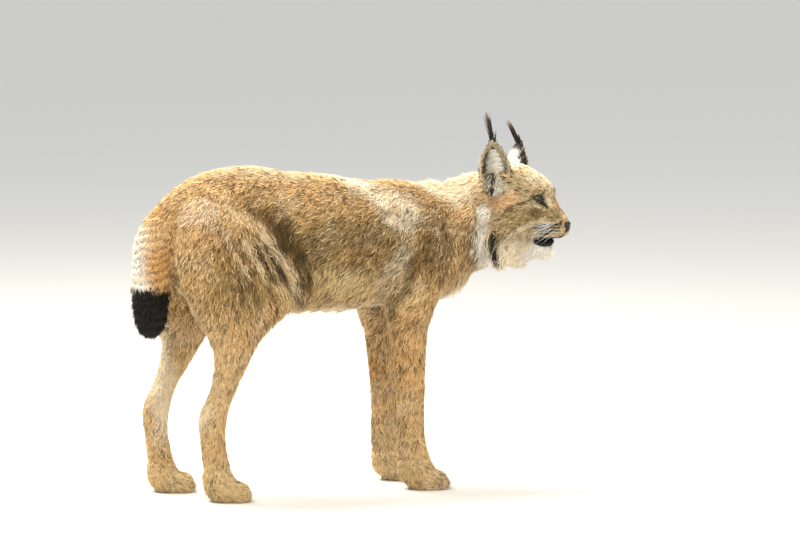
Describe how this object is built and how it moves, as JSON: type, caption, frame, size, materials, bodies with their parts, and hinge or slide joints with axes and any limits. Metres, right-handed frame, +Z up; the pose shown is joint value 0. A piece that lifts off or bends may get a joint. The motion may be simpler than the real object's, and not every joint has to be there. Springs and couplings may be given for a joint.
{
  "type": "eurasian lynx",
  "caption": "Adult Eurasian lynx standing square on all paws, tail hanging, head turned to its right, life size.",
  "frame": {"origin": "bottom centre of the bounding box, on the floor", "axes": "+X towards the animal's nose end, +Y towards its left side, +Z up"},
  "size_m": [0.8376, 0.277, 0.7062],
  "materials": {
    "short_fur": "matte fur",
    "pale_fur": "matte fur",
    "black_fur": "matte fur",
    "nose_leather": "satin",
    "eye": "glossy"
  },
  "bodies": {
    "root": {"ear_left": "pale_fur", "ear_right": "pale_fur", "eye_left": "eye", "eye_right": "eye", "foreleg_left": "short_fur", "foreleg_right": "short_fur", "forepaw_left": "pale_fur", "forepaw_right": "pale_fur", "head": "pale_fur", "hindleg_left": "short_fur", "hindleg_right": "short_fur", "hindpaw_left": "pale_fur", "hindpaw_right": "pale_fur", "neck": "short_fur", "nose": "nose_leather", "tail": "short_fur", "tail_tip": "black_fur", "torso": "short_fur"}
  },
  "joints": []
}
